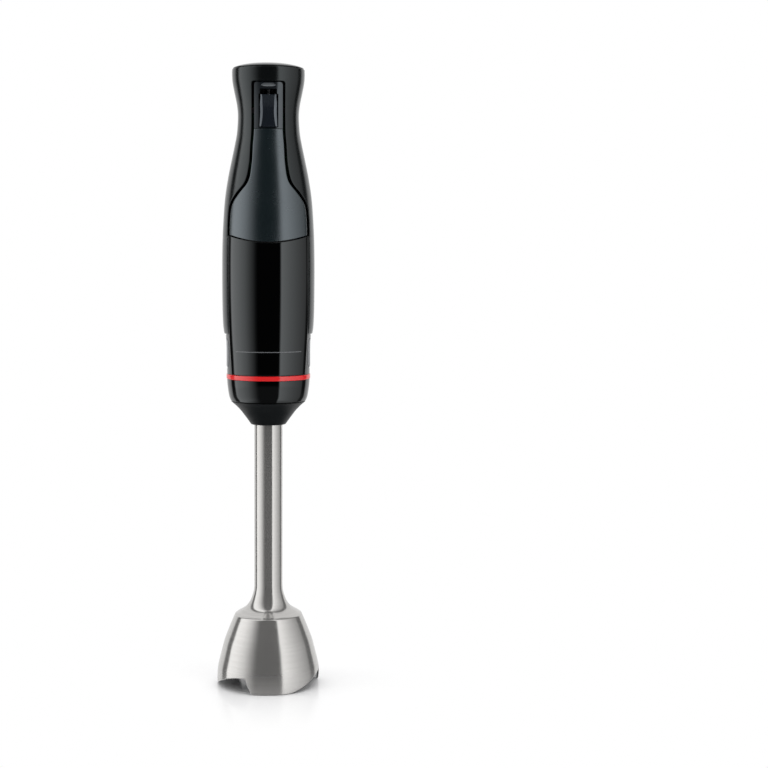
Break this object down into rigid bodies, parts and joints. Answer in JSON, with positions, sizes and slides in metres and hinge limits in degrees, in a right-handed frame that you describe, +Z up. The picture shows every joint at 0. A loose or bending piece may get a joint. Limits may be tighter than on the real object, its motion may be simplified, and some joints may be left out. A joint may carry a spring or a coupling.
{
  "type": "immersion blender",
  "caption": "Corded hand blender with a waisted soft-touch handle, pressure trigger and lock button, red ring, release buttons and a pull-off steel foot with a flared blade bell.",
  "frame": {"origin": "on the tube axis, at the plane of the bell rim that the blender stands on", "axes": "+Z up the tube to the handle, -Y the front with the trigger, +X to the right seen from the front"},
  "size_m": [0.065, 0.0653, 0.3931],
  "materials": {
    "soft_touch": "soft matte",
    "gloss_black": "high gloss",
    "silver_trim": "satin",
    "red_trim": "gloss",
    "inner_plastic": "moulded",
    "screw_steel": "zinc plated",
    "black_rubber": "matte",
    "pin_steel": "ground",
    "spring_steel": "drawn wire",
    "board_green": "solder mask",
    "capacitor_yellow": "moulded",
    "chip_black": "moulded",
    "block_white": "moulded",
    "bracket_metal": "die cast",
    "lamination": "stamped",
    "copper": "enamelled",
    "holder_brass": "stamped",
    "carbon": "sintered",
    "bearing_bronze": "sintered",
    "dark_nylon": "moulded",
    "trigger_satin": "satin",
    "magnet_metal": "nickel plated",
    "bezel_dark": "gloss",
    "smoked_button": "smoked gloss",
    "release_grey": "satin",
    "collar_matte": "matte",
    "foot_steel": "circumferential brushing",
    "bush_plastic": "machined",
    "hub_steel": "turned",
    "blade_steel": "ground"
  },
  "bodies": {
    "housing": {"grip_sleeve": "soft_touch", "top_cap": "gloss_black", "front_cover": "gloss_black", "accent_line": "silver_trim", "red_ring": "red_trim", "skirt": "gloss_black", "base_shell": "gloss_black", "chassis_rear": "inner_plastic", "chassis_front": "inner_plastic", "frame_screws": "screw_steel", "foot_socket": "inner_plastic", "socket_seal": "black_rubber", "trigger_pin": "pin_steel", "trigger_spring": "spring_steel", "control_board": "board_green", "board_screws": "screw_steel", "capacitor": "capacitor_yellow", "hall_sensor": "chip_black", "terminal_block": "block_white", "cord_clamp": "inner_plastic", "cord_gland": "black_rubber", "lower_bracket": "bracket_metal", "upper_bracket": "bracket_metal", "motor_screws": "screw_steel", "stator_core": "lamination", "field_coils": "copper", "rubber_mounts": "black_rubber", "brush_holders": "holder_brass", "carbon_brushes": "carbon", "brush_springs": "spring_steel", "shaft_bearings": "bearing_bronze", "release_spring_left": "spring_steel", "release_spring_right": "spring_steel"},
    "trigger": {"trigger_panel": "trigger_satin", "trigger_carrier": "inner_plastic", "trigger_magnet": "magnet_metal", "lock_bezel": "bezel_dark"},
    "lock": {"lock_button": "smoked_button", "lock_slider": "inner_plastic", "lock_spring": "spring_steel"},
    "release_left": {"release_button_left": "release_grey"},
    "release_right": {"release_button_right": "release_grey"},
    "rotor": {"motor_shaft": "pin_steel", "rotor_core": "lamination", "rotor_windings": "copper", "commutator": "copper", "cooling_fan": "dark_nylon", "drive_dog": "dark_nylon"},
    "foot": {"foot_collar": "collar_matte", "collar_core": "inner_plastic", "shaft_tube": "foot_steel", "bell": "foot_steel", "upper_bush": "bush_plastic", "lower_bush": "bearing_bronze", "shaft_seal": "black_rubber"},
    "foot_drive": {"drive_shaft": "pin_steel", "driven_dog": "dark_nylon", "blade_hub": "hub_steel", "blade": "blade_steel", "blade_nut": "hub_steel"}
  },
  "joints": [
    {"name": "trigger_press", "type": "hinge", "parent": "housing", "child": "trigger", "pos_m": [0, -0.0223, 0.288], "axis": [-1, 0, 0], "range_deg": [0, 3.5], "stiffness_Nm_per_rad": 3, "springref_deg": -2.86},
    {"name": "lock_slide", "type": "slide", "parent": "trigger", "child": "lock", "axis": [0, 0, 1], "range_m": [0, 0.0022], "stiffness_N_per_m": 300, "springref_m": -0.002, "deforming": ["lock_spring"]},
    {"name": "release_left_press", "type": "slide", "parent": "housing", "child": "release_left", "axis": [1, 0, 0], "range_m": [0, 0.0018], "stiffness_N_per_m": 500, "springref_m": -0.002, "deforming": ["release_spring_left"]},
    {"name": "release_right_press", "type": "slide", "parent": "housing", "child": "release_right", "axis": [-1, 0, 0], "range_m": [0, 0.0018], "stiffness_N_per_m": 500, "springref_m": -0.002, "deforming": ["release_spring_right"]},
    {"name": "rotor_spin", "type": "hinge", "parent": "housing", "child": "rotor", "pos_m": [0, 0, 0.255], "axis": [0, 0, 1], "continuous": true},
    {"name": "foot_pull", "type": "slide", "parent": "housing", "child": "foot", "axis": [0, 0, -1], "range_m": [0, 0.06]},
    {"name": "foot_spin", "type": "hinge", "parent": "foot", "child": "foot_drive", "pos_m": [0, 0, 0.1], "axis": [0, 0, 1], "continuous": true}
  ],
  "couplings": [
    {"joint": "foot_spin", "follows": "rotor_spin", "ratio": 1}
  ]
}
